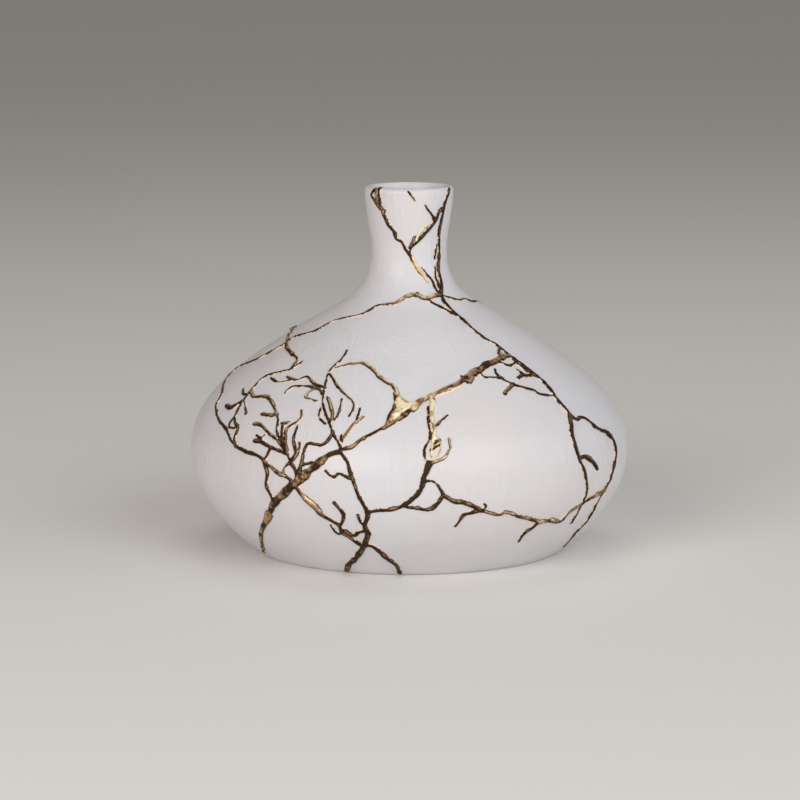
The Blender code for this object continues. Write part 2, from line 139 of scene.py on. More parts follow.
SEAMS: dict[str, Seam] = {
    "neck left": Seam(FINE, PLAIN, FINE, [
        (-42, 100.5), (-41, 98), (-38.5, 94.5), (-30, 90.5), (-22, 88.5), (-18.5, 86.5), (-10.5, 85.5),
        (-5.5, 83.5), NECK_FORK, (4, 80.5)]),
    "neck left arm": Seam(HAIR, FINE, FINE, [(-46, 100.5), (-56, 98), (-50, 96.5), (-40, 94.5)]),
    "neck left barb": Seam(THREAD, THREAD, THREAD, [(-38.5, 94.5), (-32.5, 94)]),
    "neck run": Seam(FINE, PLAIN, THREAD, [
        (4.5, 81.5), (8.5, 79.5), (14.5, 77.5), (20.5, 76), (25, 74.5)], BRIGHT),
    "neck sliver": Seam(THREAD, HAIR, FINE, [(18.5, 78.5), (26, 76.5), (31.5, 75), (33, 72.5), NECK_FOOT]),
    "neck right": Seam(PLAIN, FINE, PLAIN, [
        (64, 99.5), (57, 97.5), NECK_SPLIT, (51, 92), (49, 88.5), (51, 83.5), (50.5, 80.5), (46.5, 77.5),
        (44.5, 74), NECK_FOOT]),
    "neck link": Seam(PLAIN, FINE, THREAD, [
        NECK_SPLIT, (43.5, 93.5), (38.5, 91), (27, 88.5), (16.5, 86.5), (8.5, 85), (3, 84), NECK_FORK]),
    "neck rim": Seam(FINE, FINE, FINE, [(-46, 100.3), (-47, 98), (-44, 96), (-39.5, 94.5)], DULL),
    # A thin bright strand on the link's upper left as a painted highlight
    "neck link painted highlight": Seam(HAIR, FINE, HAIR, [(27.5, 90), (20, 89), (14, 87.5), (10.5, 86)], BRIGHT),
    "neck link low": Seam(THREAD, HAIR, HAIR, [(9, 87), (5, 85.5), (0.5, 84)], DULL),
    "neck twig": Seam(THREAD, HAIR, THREAD, [(-1.5, 99.5), (2.5, 98.5), (7.5, 97)]),
    "neck twig low": Seam(THREAD, HAIR, PLAIN, [(20.5, 96), (25, 94.5), (31, 93), (38, 91.5)]),
    "neck strand low": Seam(THREAD, HAIR, FINE, [(40.5, 78.5), (38.5, 76), (39.5, 74.5), (39.5, 73)]),
    "neck strand": Seam(THREAD, HAIR, THREAD, [(45, 84.5), (43, 83), (41.5, 80.5)]),
    "left shoulder": Seam(BROAD, PLAIN, FINE, [
        NECK_FOOT, (26.5, 71), (17, 70.5), (5, 71.5), (-6, 70.5), (-12.5, 69.5), (-23.5, 69)], SOFT),
    "left shoulder run": Seam(HAIR, HAIR, HAIR, [
        (-23.5, 69), (-30, 68.5), (-37.5, 66.5), (-51.5, 65), (-56, 64), (-60.5, 61.5), (-71, 59.5),
        (-72, 57), (-78.5, 53), (-88.5, 50), LEFT_TURN]),
    "left loop": Seam(HAIR, FINE, FINE, [
        LEFT_TURN, (-87.5, 47), (-77, 45), (-73, 43.5), (-71, 41.5), (-62, 38.5), (-57.5, 37.5),
        (-54, 35.5), LEFT_HIP]),
    "left knee": Seam(FINE, PLAIN, FINE, [LEFT_HIP, (-46, 33), (-42, 32.5), LEFT_KNEE]),
    "left down": Seam(PLAIN, FINE, PLAIN, [LEFT_KNEE, (-38, 28.5), (-38.5, 25), (-37.5, 23), TRUNK_ELBOW]),
    "trunk foot": Seam(PLAIN, PLAIN, TRUNK, [
        (-58.5, 2.5), (-53, 5.5), (-50, 8), (-45.5, 11.5), (-42, 14.5), (-38.5, 18), TRUNK_ELBOW], DULL),
    "trunk": Seam(TRUNK, TRUNK, BROAD, [
        TRUNK_ELBOW, (-33, 23.5), TRUNK_CROSS, (-25, 30.5), (-20.5, 34.5), TRUNK_MIDDLE], DULL),
    "trunk middle": Seam(PLAIN, FINE, BROAD, [
        (-16.5, 36.3), (-14.5, 37), (-12, 39), (-6, 42), (-2.5, 44), (1, 46)], DULL),
    "trunk right": Seam(TRUNK, BROAD, PLAIN, [(1, 46), (4, 48), STEM_TOP, (12, 50.5)], SOFT),
    "trunk upper": Seam(PLAIN, TRUNK, BROAD, [
        (12, 50.5), (17, 51.5), (22, 53), (31, 55), (35.5, 55.5), TRUNK_END], DULL),
    # A thin bright strand along the trunk's crest as a painted highlight
    "trunk painted highlight": Seam(THREAD, HAIR, THREAD, [(9, 49), (13, 50), (17.5, 51)], BRIGHT),
    "trunk knob": Seam(FINE, PLAIN, FINE, [(19, 53), (20.5, 51.5), (23, 52.5)], DULL),
    "web high": Seam(BROAD, FINE, FINE, [TRUNK_END, (42, 57.5), RIGHT_KNOT], DULL),
    "web": Seam(BROAD, PLAIN, FINE, [(40, 56), (44, 56.5), (46.5, 56)], DULL),
    "pool": Seam(PLAIN, POOL, PLAIN, [(-5, 43.5), (-3, 45.3), BRIGHT_POOL, (1, 47)], BRIGHT),
    "pool top": Seam(HAIR, POOL, BROAD, [(-3.5, 48.5), (-2.8, 47), BRIGHT_POOL], BRIGHT),
    "pool left": Seam(FINE, FINE, FINE, [
        (-4.5, 49.5), (-4, 47.5), (-4.5, 46), (-5.5, 44.5), (-6, 42.5)], DULL),
    "arc": Seam(HAIR, PLAIN, PLAIN, [
        (-29, 54.5), (-26, 55), (-20, 56), (-14.5, 55), (-12.5, 54), (-8, 52), (-5.3, 51.2), (-4, 50),
        (-3.3, 48.8), (-1, 47.5), (0.5, 47)], SOFT),
    "centre": Seam(HAIR, HAIR, FINE, [
        (-28.5, 58.5), (-28.5, 56.5), (-30.5, 54), LEAF_MEET, (-26.5, 46.5), (-22.5, 42.5), LADDER_TOP,
        (-18, 37), TRUNK_MIDDLE]),
    "centre foot": Seam(FINE, PLAIN, BROAD, [
        TRUNK_MIDDLE, (-15.5, 33), (-14.5, 30), (-12.5, 24.5), CENTRE_FOOT, (-11.5, 16), (-11, 13.5),
        BASE_KNOT]),
    "diagonal": Seam(FINE, PLAIN, PLAIN, [LEFT_KNEE, (-35, 29), (-31, 27.5), (-28, 24)], DULL),
    "diagonal run": Seam(PLAIN, TRUNK, PLAIN, [
        (-28, 24), (-26.5, 22.5), (-24.5, 21), (-23, 19), (-22, 18)], DULL),
    "diagonal foot": Seam(PLAIN, PLAIN, PLAIN, [
        (-22, 18), (-19.5, 16.5), (-18.5, 15.5), (-18, 13.5), (-16.5, 12.5), BASE_KNOT]),
    "diagonal hair": Seam(HAIR, HAIR, HAIR, [(-21, 15.5), (-20, 13.5), (-19, 13)]),
    "base left": Seam(BROAD, BROAD, BROAD, [BASE_KNOT, (-16.5, 5.5), (-19.5, 3.5), (-22, 1)]),
    "base right": Seam(PLAIN, BROAD, PLAIN, [BASE_KNOT, (-10.5, 10), (-7, 6.5), (-4, 3.5), (-3, 1)]),
    "base window": Seam(PLAIN, FINE, PLAIN, [(-17.5, 14.5), (-15, 13), (-13.5, 14), (-12, 14.5)]),
    "lower middle": Seam(FINE, PLAIN, BROAD, [
        CENTRE_FOOT, (-8.5, 20.5), (-4.5, 21), LOWER_MEET, (1.5, 24.5), (3, 26.5), (4, 30.5), STEM_FOOT]),
    "stem": Seam(HAIR, PLAIN, BROAD, [
        (5.6, 34.8), (5.8, 36.5), (6.2, 38.5), (6.9, 41), (6.3, 44), (6.8, 47), STEM_TOP], BRIGHT),
    "stem top": Seam(BROAD, PLAIN, FINE, [(7, 47), STEM_TOP, (11, 49.8)], BRIGHT),
    "stem side": Seam(HAIR, HAIR, THREAD, [(7.3, 39.5), (8.2, 37.6), (7.6, 35.5), (6.3, 34)], BRIGHT),
    "stem cup": Seam(THREAD, HAIR, HAIR, [(5, 38.5), (4, 36.5), (4, 34.5), STEM_FOOT]),
    "stem edge": Seam(HAIR, HAIR, HAIR, [(5.5, 46.5), (5.3, 43), (5.7, 41), (5.3, 39)]),
    "stem twig": Seam(HAIR, HAIR, THREAD, [(6.5, 42), (7.5, 42), (8.5, 43), (11, 44.5)], DULL),
    "stem dash": Seam(HAIR, HAIR, HAIR, [(6, 37.5), (8, 38.8)]),
    "stem dash low": Seam(HAIR, HAIR, HAIR, [(5.5, 36.3), (7.8, 37.6)]),
    "stem spot": Seam(HAIR, FINE, HAIR, [(7.5, 48.3), (7.5, 47.3)]),
    "stem curl": Seam(FINE, HAIR, HAIR, [
        STEM_FOOT, (6.5, 33.3), (9, 34.5), (10, 36), (10.5, 37), (10.5, 39)], SOFT),
    "loop thread": Seam(HAIR, HAIR, FINE, [(3.5, 28.5), (6, 28.5), (8, 26), (8.5, 24.5)]),
    "lower loop": Seam(FINE, PLAIN, PLAIN, [
        LOWER_MEET, (1, 21.5), (5, 21), (7, 22.5), (8.5, 24.5), (11, 23), (14, 22.5), LOWER_TURN]),
    "lower run": Seam(FINE, FINE, BROAD, [
        LOWER_TURN, (23.5, 18.5), (25.5, 19), (29.5, 17.5), (33, 16.5), LOWER_BRANCH], DULL),
    "lower right": Seam(BROAD, PLAIN, BROAD, [
        LOWER_BRANCH, (40.5, 15), (45.5, 14), (47.5, 16), INNER_FOOT, (55, 19), OUTER_FOOT], DULL),
    "run branch": Seam(FINE, BROAD, FINE, [LOWER_BRANCH, (35, 13), (33.5, 12), (33, 9.5)]),
    "run spur": Seam(HAIR, HAIR, HAIR, [LOWER_TURN, (19.5, 21), (19, 22)]),
    "run twig": Seam(FINE, PLAIN, FINE, [LOWER_TURN, (15.5, 19.5), (14, 19), (12, 16)]),
    "right line": Seam(PLAIN, FINE, FINE, [
        NECK_FOOT, (35.5, 69.5), (36, 67.5), (39, 65), (38.5, 63.5), (41.5, 60.5), (44, 59.5), RIGHT_KNOT]),
    "right line foot": Seam(FINE, PLAIN, PLAIN, [
        RIGHT_KNOT, (46, 56.5), (48, 54), (50, 50.5), (50.5, 48), LOW_LINE_END, (50, 45), RIGHT_FORK]),
    "outer loop": Seam(FINE, BROAD, PLAIN, [
        RIGHT_FORK, (52.5, 40.5), (56, 40.5), (60.5, 37), (66, 34.5), (67.5, 29.5), (65, 23.5),
        OUTER_FOOT]),
    "outer foot": Seam(FINE, PLAIN, HAIR, [OUTER_FOOT, (61, 16.5), (61.5, 12.5), (60.5, 7.5), (64, 3)]),
    "inner right": Seam(BROAD, PLAIN, FINE, [
        RIGHT_FORK, (49.5, 40), (48, 37), (48.5, 31), (51, 26), (52.5, 21), INNER_FOOT, (51.5, 12.5)]),
    "inner twig": Seam(FINE, BROAD, PLAIN, [(49, 31), (51, 31), (53, 30), (55, 28.5), (56.5, 27)]),
    "shoulder strand": Seam(HAIR, FINE, FINE, [(9, 72), (14, 71), (25.5, 69), (30, 68), (38, 66)]),
    "shoulder thread": Seam(HAIR, HAIR, THREAD, [
        NECK_FOOT, (43, 70.5), (56, 69.5), (66, 69.5), (75.5, 68.5), (88.5, 68), (100, 67), (118, 66.5)]),
    "right strand": Seam(FINE, HAIR, FINE, [(37.5, 55.5), (41, 54.5), (43, 54.5), (47, 55)]),
    "right shelf": Seam(FINE, PLAIN, FINE, [(45.5, 55.5), (46, 54.5), (47, 53), (48.5, 51.5)], DULL),
    "right strand low": Seam(HAIR, FINE, FINE, [(43, 53.5), (45, 52), (49, 52)]),
    "right twig": Seam(FINE, PLAIN, FINE, [(40.5, 51.5), (43, 52), (46.5, 51.5)]),
    "low line": Seam(HAIR, FINE, FINE, [(26.5, 53.5), (27.5, 52.5), (34, 52)]),
    "low line run": Seam(HAIR, FINE, HAIR, [
        (33.5, 54), (33, 53), (35, 51), (39.5, 49.5), (43, 48.5), (44.5, 47.5), LOW_LINE_END]),
    "low line spur": Seam(FINE, PLAIN, PLAIN, [(37, 50.5), (34, 49.5), (31.5, 48.5)], DULL),
    "left strand": Seam(PLAIN, PLAIN, FINE, [
        STRAND_TURN, (-74.5, 58.5), (-64, 57), (-50.5, 55.5), (-48, 53)], DULL),
    "left strand run": Seam(FINE, HAIR, FINE, [
        (-48, 53), (-53, 52), (-57.5, 50.5), (-58, 47.5), (-57, 42.5), (-55, 39.5), (-52.5, 38.5),
        (-52, 35.5), LEFT_HIP]),
    "left side loop": Seam(HAIR, HAIR, HAIR, [(-56.5, 40.5), (-57, 39), (-56, 38), (-53.5, 38)]),
    "left branch": Seam(HAIR, HAIR, HAIR, [(-46, 55), (-47, 54), (-48, 53)]),
    "left inner": Seam(FINE, PLAIN, HAIR, [
        (-57.5, 47), (-54, 46), (-48, 46.5), (-42.5, 44.5), (-39, 42)], DULL),
    "left inner run": Seam(HAIR, HAIR, FINE, [(-39, 42), (-37, 38.5), (-34, 36), HUB, HUB_FOOT]),
    "left fat": Seam(PLAIN, BROAD, FINE, [(-64.5, 42.5), (-60.5, 42.5), (-58, 44.5)]),
    "left dot": Seam(HAIR, FINE, HAIR, [(-62.5, 47), (-60.5, 46), (-58, 46)]),
    "left drop": Seam(HAIR, HAIR, FINE, [(-56.5, 44.5), (-54.5, 43.5), (-52, 42)]),
    "left side": Seam(FINE, PLAIN, FINE, [(-45.5, 42.5), (-43, 42.5), (-40, 43)], DULL),
    "high arm": Seam(PLAIN, FINE, HAIR, [
        (-46.5, 40), (-44, 40), (-40, 38.5), (-36.5, 37), (-33.5, 35), HUB], DULL),
    "low arm": Seam(PLAIN, FINE, FINE, [(-44, 36), (-41.5, 36), (-37.5, 35), HUB]),
    "low arm barb": Seam(HAIR, HAIR, THREAD, [(-44, 37.5), (-42, 37), (-41, 38)]),
    "arm link": Seam(FINE, FINE, FINE, [(-38, 34.5), (-38.5, 33), LEFT_KNEE]),
    "hub arm": Seam(HAIR, FINE, PLAIN, [(-32.5, 44.5), (-31.5, 42.5), (-34.5, 40), (-34, 38), HUB], DULL),
    "hub dash": Seam(HAIR, FINE, HAIR, [(-37, 41), (-34.5, 41.5)], DULL),
    "hub arm left": Seam(HAIR, FINE, FINE, [(-36.5, 40.5), (-35.5, 38.5), HUB]),
    "hub stem": Seam(HAIR, FINE, FINE, [(-31.5, 41), (-31.5, 38), (-30, 34.5), HUB_FOOT]),
    "hub side": Seam(HAIR, FINE, FINE, [(-29.5, 37), (-29, 36), (-30, 33), HUB_FOOT], DULL),
    "hub low": Seam(PLAIN, FINE, PLAIN, [HUB_FOOT, (-29.5, 30), TRUNK_CROSS]),
    "hub hook": Seam(FINE, FINE, FINE, [(-33, 29), (-32.5, 30.5), HUB_FOOT], DULL),
    "ladder": Seam(FINE, FINE, FINE, [
        TRUNK_CROSS, (-28, 31.5), (-27.5, 35.5), (-26.5, 37), (-22.5, 37), LADDER_TOP]),
    "ladder twig": Seam(HAIR, HAIR, HAIR, [(-27.5, 31.5), (-25, 32.5)]),
    "ladder dot": Seam(FINE, FINE, HAIR, [(-17.5, 38), (-18, 39.5)]),
    "leaf top": Seam(HAIR, FINE, FINE, [
        (-46.5, 51.5), (-41, 51), (-38, 52), (-34.5, 51), (-32, 50.5), LEAF_MEET], DULL),
    "leaf strand": Seam(HAIR, HAIR, HAIR, [(-54, 50.5), (-48, 50), (-43, 51)]),
    "leaf low": Seam(HAIR, FINE, FINE, [
        (-42, 48), (-40.5, 49.5), (-34, 50), (-30, 49.5), (-28, 48.5)], DULL),
    "leaf hook": Seam(HAIR, FINE, HAIR, [(-28.5, 47), (-33, 47.5), (-33, 49), (-31, 49.8)], SOFT),
    "inner leaf": Seam(HAIR, PLAIN, HAIR, [(-26, 48), (-24, 46.5), (-22.3, 44.5), (-21.8, 42.5)], DULL),
    "inner strand": Seam(FINE, HAIR, HAIR, [
        (-29.5, 53), (-25, 51), (-19.5, 48.5), (-17, 47), (-16.5, 45.5), (-17, 44)], DULL),
    "inner stalk": Seam(HAIR, HAIR, HAIR, [(-21, 48), (-20.5, 45), (-21, 42.5)], DULL),
    "inner hook": Seam(HAIR, HAIR, HAIR, [(-26.5, 45.5), (-26, 43.5), (-23.5, 42)]),
    "inner side": Seam(FINE, FINE, FINE, [(-17.5, 38.5), (-16, 41), (-14.5, 43), (-13, 44)], SOFT),
    "inner thread": Seam(THREAD, HAIR, HAIR, [(-14.5, 46), (-14.5, 43)]),
    "curl": Seam(FINE, HAIR, FINE, [(-21, 30.5), (-19, 29), (-17.5, 30), (-14.8, 29)]),
    "low twig": Seam(FINE, PLAIN, FINE, [(-19, 22), (-17, 19.5), (-17, 18), (-18, 16)]),
    "low twig side": Seam(FINE, FINE, FINE, [(-13, 19), (-12.5, 17), (-11.5, 16.5)]),
    "back shoulder": Seam(FINE, PLAIN, FINE, [
        (-104, 45.5), BACK_LEFT, (-122, 49.5), BACK_STRAND, (-143, 52), BACK_MIDDLE, (-166, 50), BACK_TOP,
        (160, 48), (147, 51), (134, 50), BACK_RIGHT], DULL),
    "back strand": Seam(FINE, FINE, FINE, [
        STRAND_TURN, (-94, 60.5), (-101, 59), (-108, 59), (-115, 56), (-122, 55), BACK_STRAND], DULL),
    "back right": Seam(FINE, FINE, HAIR, [
        BACK_RIGHT, (122, 50), (127, 53), (124, 57), (126, 60), (122, 64.5), (118, 66.5)], DULL),
    "back neck": Seam(PLAIN, FINE, PLAIN, [
        (-148, 99), (-160, 91), (-152, 82), (-161, 77), (-168, 72), (-163, 67), (-158, 62), (-157, 58),
        BACK_MIDDLE], DULL),
    "back middle": Seam(PLAIN, PLAIN, PLAIN, [
        BACK_TOP, (166, 45), (161, 40), (167, 34), (171, 29), (165, 23), (163, 16), (168, 9),
        (167, 1)], DULL),
    "back left": Seam(FINE, PLAIN, PLAIN, [
        BACK_LEFT, (-119, 40), (-112, 34), (-107, 28), (-112, 21), (-114, 14), (-110, 8), (-111, 1)], DULL),
    "back low": Seam(FINE, FINE, PLAIN, [
        BACK_RIGHT, (128, 39), (130, 33), (123, 27), (119, 20), (125, 15), (126, 10), (122, 6),
        (123, 1)], DULL),
    "back twigs left": Seam(FINE, FINE, HAIR, [(-119, 40), (-125, 37), (-127, 32)], DULL),
    "back twigs right": Seam(FINE, FINE, HAIR, [(130, 33), (136, 31), (140, 26)], DULL),
    "back twigs low": Seam(PLAIN, FINE, HAIR, [(171, 29), (177, 25), (-179, 20)], DULL),
    "back twigs high": Seam(FINE, HAIR, HAIR, [BACK_STRAND, (-130, 55), (-134, 60)], DULL),
}


def curve_stretch(start: Place, start_lean: float, end: Place, end_lean: float,
                  reach: Pair, count: int) -> np.ndarray:
    """Makes one smooth stretch of the outline.

    Args:
        start: Radius and height where the stretch starts.
        start_lean: Direction of the outline there, in radians from outward level.
        end: Radius and height where it ends.
        end_lean: Direction of the outline there.
        reach: How far each curve handle reaches, as shares of the straight distance.
        count: Number of points.

    Returns:
        The points as rows of radius and height, without the start.
    """
    first, last = np.array(start), np.array(end)
    span = float(np.linalg.norm(last - first))
    leave = first + reach[0] * span * np.array([math.cos(start_lean), math.sin(start_lean)])
    arrive = last - reach[1] * span * np.array([math.cos(end_lean), math.sin(end_lean)])
    along = np.linspace(0.0, 1.0, count + 1)[1:, None]
    back = 1.0 - along
    return (back**3 * first + 3 * along * back**2 * leave
            + 3 * along**2 * back * arrive + along**3 * last)


class Outline:
    """A line of radius and height with its running length and its outward directions."""

    def __init__(self, points: np.ndarray) -> None:
        """Keeps the points and works out lengths and directions."""
        self.points = points
        steps = np.linalg.norm(np.diff(points, axis=0), axis=1)
        self.lengths = np.concatenate([[0.0], np.cumsum(steps)])
        along = np.gradient(points, self.lengths, axis=0)
        along /= np.linalg.norm(along, axis=1)[:, None]
        self.outward = np.stack([along[:, 1], -along[:, 0]], axis=1)

    def at(self, lengths: np.ndarray) -> tuple[np.ndarray, np.ndarray]:
        """Reads the outline.

        Args:
            lengths: Running lengths from the outline's start.

        Returns:
            The points there and the outward directions there, each as rows of two numbers.
        """
        points, outward = (
            np.stack([np.interp(lengths, self.lengths, rows[:, axis]) for axis in (0, 1)], axis=-1)
            for rows in (self.points, self.outward))
        return points, outward / np.linalg.norm(outward, axis=-1, keepdims=True)


def mesh_piece(name: str, points: np.ndarray, faces: np.ndarray | list[list[int]]) -> bpy.types.Object:
    """Makes a smooth shaded mesh object that rides on the vase.

    Args:
        name: Name of the piece.
        points: Its points as rows of x, y and z.
        faces: Its faces as rows of point numbers.

    Returns:
        The new object.
    """
    mesh = bpy.data.meshes.new(name)
    mesh.from_pydata(points.tolist(), [], faces if isinstance(faces, list) else faces.tolist())
    mesh.shade_smooth()
    piece = bpy.data.objects.new(name, mesh)
    bpy.context.scene.collection.objects.link(piece)
    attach(piece, "root")
    return piece


@dataclass
class Vessel:
    """The turned porcelain vessel, from the recessed underside over the lip to the inner floor."""

    foot_radius: float = 0.0715
    belly_height: float = 0.0470
    shoulder: Place = (0.0560, 0.0975)
    neck: Place = (0.0172, 0.1360)
    rim_radius: float = 0.0202
    body_wall: float = 0.0050
    lip_wall: float = 0.0036
    floor_thickness: float = 0.0065
    floor_corner: float = 0.0080
    corner_reach: Pair = (0.4, 0.4)
    foot_bevel: Pair = (0.0015, 0.0012)
    foot_ring_width: float = 0.0080
    foot_recess: float = 0.0020
    leans: tuple[float, ...] = (39.0, 90.0, 145.0, 90.0, 88.5)
    reaches: tuple[Pair, ...] = ((0.69, 0.11), (0.37, 0.22), (0.44, 0.41), (0.34, 0.36))
    stretch_points: int = 120
    lip_points: int = 24
    ring_step: float = 0.0018
    columns: int = 224
    edge_radius: float = 0.0004
    height: float = field(init=False)
    belly_radius: float = field(init=False)
    outer: Outline = field(init=False)
    skin: Outline = field(init=False)

    def __post_init__(self) -> None:
        """Takes the height and the belly from the frame, and works out the outer outlines."""
        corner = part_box("vase_body")[1]
        self.height, self.belly_radius = corner.z, corner.x
        self.outer = Outline(self.outer_side())
        foot = np.array([(self.foot_radius, 0.0)])
        self.skin = Outline(np.vstack([foot, self.outer.points, self.lip()]))

    def outer_side(self) -> np.ndarray:
        """Returns the outer side from the top of the foot's bevel to the rim's outer edge."""
        stations = [
            (self.foot_radius + self.foot_bevel[0], self.foot_bevel[1]),
            (self.belly_radius, self.belly_height),
            self.shoulder,
            self.neck,
            (self.rim_radius, self.height - self.lip_wall / 2),
        ]
        leans = [math.radians(lean) for lean in self.leans]
        points = [np.array([stations[0]])]
        for index, reach in enumerate(self.reaches):
            points.append(curve_stretch(stations[index], leans[index], stations[index + 1],
                                        leans[index + 1], reach, self.stretch_points))
        return np.vstack(points)

    def lip(self) -> np.ndarray:
        """Returns the round lip, from the rim's outer edge over the top to its inner edge."""
        angles = np.linspace(0.0, math.pi, self.lip_points + 1)[1:]
        half = self.lip_wall / 2
        return np.stack([self.rim_radius - half + half * np.cos(angles),
                         self.height - half + half * np.sin(angles)], axis=1)

    def inner_side(self) -> np.ndarray:
        """Returns the inner side from under the lip down to the floor's corner and its middle."""
        outer, outward = self.outer.points, self.outer.outward
        shoulder_height = self.shoulder[1]
        rise = np.clip((outer[:, 1] - shoulder_height) / (self.height - shoulder_height), 0.0, 1.0)
        wall = self.body_wall + (self.lip_wall - self.body_wall) * rise
        fine = outer - outward * wall[:, None]
        corner_top = self.floor_thickness + self.floor_corner
        start = (float(np.interp(corner_top, fine[:, 1], fine[:, 0])), corner_top)
        floor_radius = float(np.interp(self.floor_thickness, fine[:, 1], fine[:, 0]))
        lean = math.atan2(self.floor_corner, start[0] - floor_radius) + math.pi
        corner = curve_stretch(start, lean, (floor_radius - self.floor_corner, self.floor_thickness),
                               math.pi, self.corner_reach, self.lip_points)
        side = fine[(fine[:, 1] > corner_top) & (fine[:, 1] < self.height - self.lip_wall)][::-1]
        return np.vstack([side, [start], corner, [(0.0, self.floor_thickness)]])

    def section(self) -> np.ndarray:
        """Returns the whole section as evenly spaced rings, with closer ones at the foot and lip."""
        ring_inside = self.foot_radius - self.foot_ring_width
        recess_edge = ring_inside - self.foot_recess
        soft = self.edge_radius
        foot = np.array([
            (0.0, self.foot_recess), (recess_edge / 2, self.foot_recess),
            (recess_edge - soft, self.foot_recess), (recess_edge + soft, self.foot_recess - soft),
            (ring_inside - soft, soft), (ring_inside + soft, 0.0), (self.foot_radius - soft, 0.0),
            (self.foot_radius, soft / 4)])
        outer, _ = self.outer.at(np.arange(0.0, self.outer.lengths[-1], self.ring_step))
        edge = np.array([(self.rim_radius, self.height - self.lip_wall / 2)])
        lip = self.lip()[1::2]
        inner = Outline(self.inner_side())
        inside, _ = inner.at(np.linspace(self.ring_step, inner.lengths[-1],
                                         int(inner.lengths[-1] / self.ring_step / 2)))
        return np.vstack([foot, outer, edge, lip, inside])

    def build(self) -> bpy.types.Object:
        """Turns the section about Z.

        Returns:
            The vessel, which stands for the solid of the same form.
        """
        section = self.section()
        section[0, 0] = section[-1, 0] = 0.0
        rings = section[1:-1]
        angles = np.arange(self.columns) * (2 * math.pi / self.columns)
        grid = np.stack([np.outer(rings[:, 0], np.sin(angles)), np.outer(rings[:, 0], -np.cos(angles)),
                         np.repeat(rings[:, 1:], self.columns, axis=1)], axis=-1).reshape(-1, 3)
        poles = np.array([(0.0, 0.0, section[0, 1]), (0.0, 0.0, section[-1, 1])])
        here = np.arange(self.columns)
        after = (here + 1) % self.columns
        faces: list[list[int]] = []
        for ring in range(len(rings) - 1):
            low, high = ring * self.columns, (ring + 1) * self.columns
            faces += np.stack([low + here, low + after, high + after, high + here], axis=1).tolist()
        under, floor = len(grid), len(grid) + 1
        last = (len(rings) - 1) * self.columns
        faces += [[under, int(b), int(a)] for a, b in zip(here, after)]
        faces += [[floor, last + int(a), last + int(b)] for a, b in zip(here, after)]
        piece = mesh_piece("porcelain_vessel", np.vstack([grid, poles]), faces)
        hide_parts("vase_body")
        return piece

    def dress(self, piece: bpy.types.Object, finish: "SatinPorcelain") -> None:
        """Gives the vessel its finish."""
        piece.data.materials.append(finish.material())


@dataclass
class SkinGrid:
    """A fine grid over the vessel's outer side, on which the gold is laid as cover and height."""

    skin: Outline
    row_step: float = 0.00037
    columns: int = 1664
    coarse_radii: Pair = (0.0520, 0.0260)
    cover_unit: float = 0.0010

    def __post_init__(self) -> None:
        """Works out the grid's points and outward directions."""
        count = int(self.skin.lengths[-1] / self.row_step)
        line, outward = self.skin.at(np.linspace(0.0, self.skin.lengths[-1], count))
        self.row_step = float(self.skin.lengths[-1]) / (count - 1)
        self.radii = line[:, 0]
        angles = np.arange(self.columns) * (2 * math.pi / self.columns)
        turn = np.stack([np.sin(angles), -np.cos(angles)], axis=1)
        self.points = np.empty((count, self.columns, 3))
        self.normals = np.empty_like(self.points)
        self.points[..., :2] = line[:, None, :1] * turn
        self.points[..., 2] = line[:, 1:]
        self.normals[..., :2] = outward[:, None, :1] * turn
        self.normals[..., 2] = outward[:, 1:]
        self.cover = np.full((count, self.columns), -1.0)
        self.height = np.zeros_like(self.cover)
        self.sheen = np.zeros_like(self.cover)

    def lay(self, turn: float, row: float, half_width: float, relief: float, sheen: float) -> None:
        """Lays one dab of gold on the grid.

        Args:
            turn: Its column, as a fraction.
            row: Its row, as a fraction.
            half_width: Half of its width.
            relief: Height of its crest.
            sheen: How pale its crest is painted, partly polish and partly painted highlight and painted
                shade.
        """
        middle_row, middle_turn = int(round(row)), int(round(turn))
        row_reach = int(half_width / self.row_step) + 2
        radius = self.radii[min(max(middle_row, 0), len(self.radii) - 1)]
        turn_reach = int(half_width / (radius * 2 * math.pi / self.columns)) + 2
        rows = np.arange(max(middle_row - row_reach, 0), min(middle_row + row_reach + 1, len(self.radii)))
        columns = np.arange(middle_turn - turn_reach, middle_turn + turn_reach + 1) % self.columns
        block = np.ix_(rows, columns)
        here = self.skin.at(np.array([row * self.row_step]))[0][0]
        angle = turn * 2 * math.pi / self.columns
        centre = np.array([here[0] * math.sin(angle), -here[0] * math.cos(angle), here[1]])
        away = np.sqrt(((self.points[block] - centre)**2).sum(axis=-1))
        cover = (half_width - away) / self.cover_unit
        self.sheen[block] = np.where(cover > self.cover[block], sheen, self.sheen[block])
        self.cover[block] = np.maximum(self.cover[block], cover)
        dome = relief * np.sqrt(np.clip(1.0 - (away / half_width)**2, 0.0, 1.0))
        self.height[block] = np.maximum(self.height[block], dome)

    def triangles(self) -> np.ndarray:
        """Returns the grid's triangles, with fewer columns where the vessel is narrow."""
        strides = np.where(self.radii >= self.coarse_radii[0], 1,
                           np.where(self.radii >= self.coarse_radii[1], 2, 4))
        parts = []
        for row in range(len(self.radii) - 1):
            low, high = row * self.columns, (row + 1) * self.columns
            below, above = int(strides[row]), int(strides[row + 1])
            step = max(below, above)
            start = np.arange(0, self.columns, step)
            end = (start + step) % self.columns
            half = start + step // 2
            if below == above:
                parts += [np.stack([low + start, low + end, high + end], axis=1),
                          np.stack([low + start, high + end, high + start], axis=1)]
            elif below < above:
                parts += [np.stack([low + start, low + half, high + start], axis=1),
                          np.stack([low + half, high + end, high + start], axis=1),
                          np.stack([low + half, low + end, high + end], axis=1)]
            else:
                parts += [np.stack([low + start, low + end, high + half], axis=1),
                          np.stack([low + start, high + half, high + start], axis=1),
                          np.stack([low + end, high + end, high + half], axis=1)]
        return np.vstack(parts)


